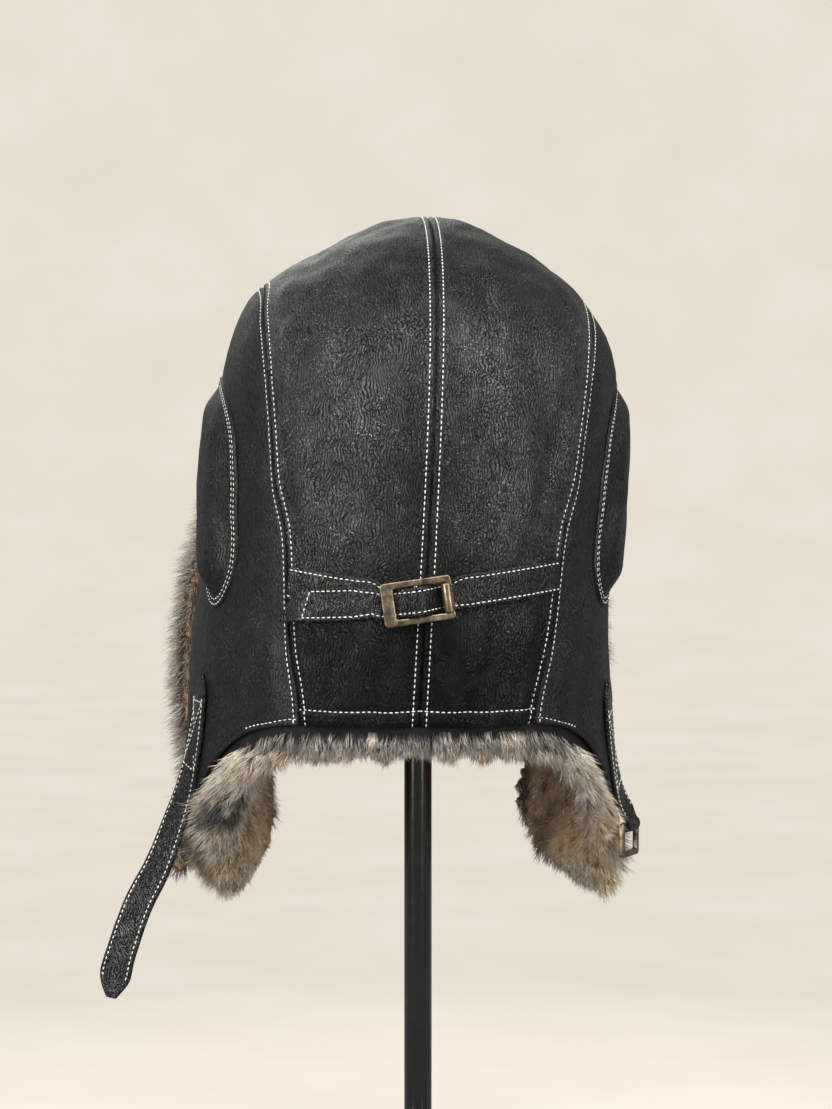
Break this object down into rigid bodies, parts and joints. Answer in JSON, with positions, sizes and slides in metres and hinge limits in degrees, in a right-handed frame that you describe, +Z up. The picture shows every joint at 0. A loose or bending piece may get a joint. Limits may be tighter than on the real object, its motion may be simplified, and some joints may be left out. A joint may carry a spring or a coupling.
{
  "type": "aviator hat on stand",
  "caption": "Leather flying cap with deep fur lining, ear flaps, padded ear patches, a back strap with buckle and two chin straps, on a plain post stand.",
  "frame": {"origin": "centre of the underside of the stand's base", "axes": "+Z up along the stand's post, the face opening looks along -Y, the wearer's left is +X"},
  "size_m": [0.2482, 0.2368, 0.45],
  "materials": {
    "crown_leather": "semi-gloss black leather with fine creased grain",
    "side_leather": "smoother, duller black leather",
    "patch_leather": "smooth black leather over padding",
    "strap_leather": "black leather, stitched edges",
    "thread": "cream sewing thread",
    "fur_pile": "deep pile, dark roots, brown middles and pale tips",
    "aged_brass": "dulled antique brass",
    "stand_black": "glossy black paint"
  },
  "bodies": {
    "hat": {"crown_panel_left": "crown_leather", "crown_panel_right": "crown_leather", "side_panel_left": "side_leather", "side_panel_right": "side_leather", "fur_lining": "fur_pile", "fur_trim": "fur_pile", "ear_patch_left": "patch_leather", "ear_patch_right": "patch_leather", "back_strap_left": "strap_leather", "back_strap_right": "strap_leather", "back_buckle": "aged_brass", "chin_strap_left": "strap_leather", "chin_strap_right": "strap_leather", "stand_base": "stand_black", "stand_post": "stand_black", "stand_top": "stand_black"},
    "chin_buckle": {"chin_buckle": "aged_brass"}
  },
  "joints": [
    {"name": "chin_buckle_swing", "type": "hinge", "parent": "hat", "child": "chin_buckle", "pos_m": [-0.09555, 0.01979, 0.17207], "axis": [0.4808, 0.8768, 0], "range_deg": [-12, 75]}
  ]
}
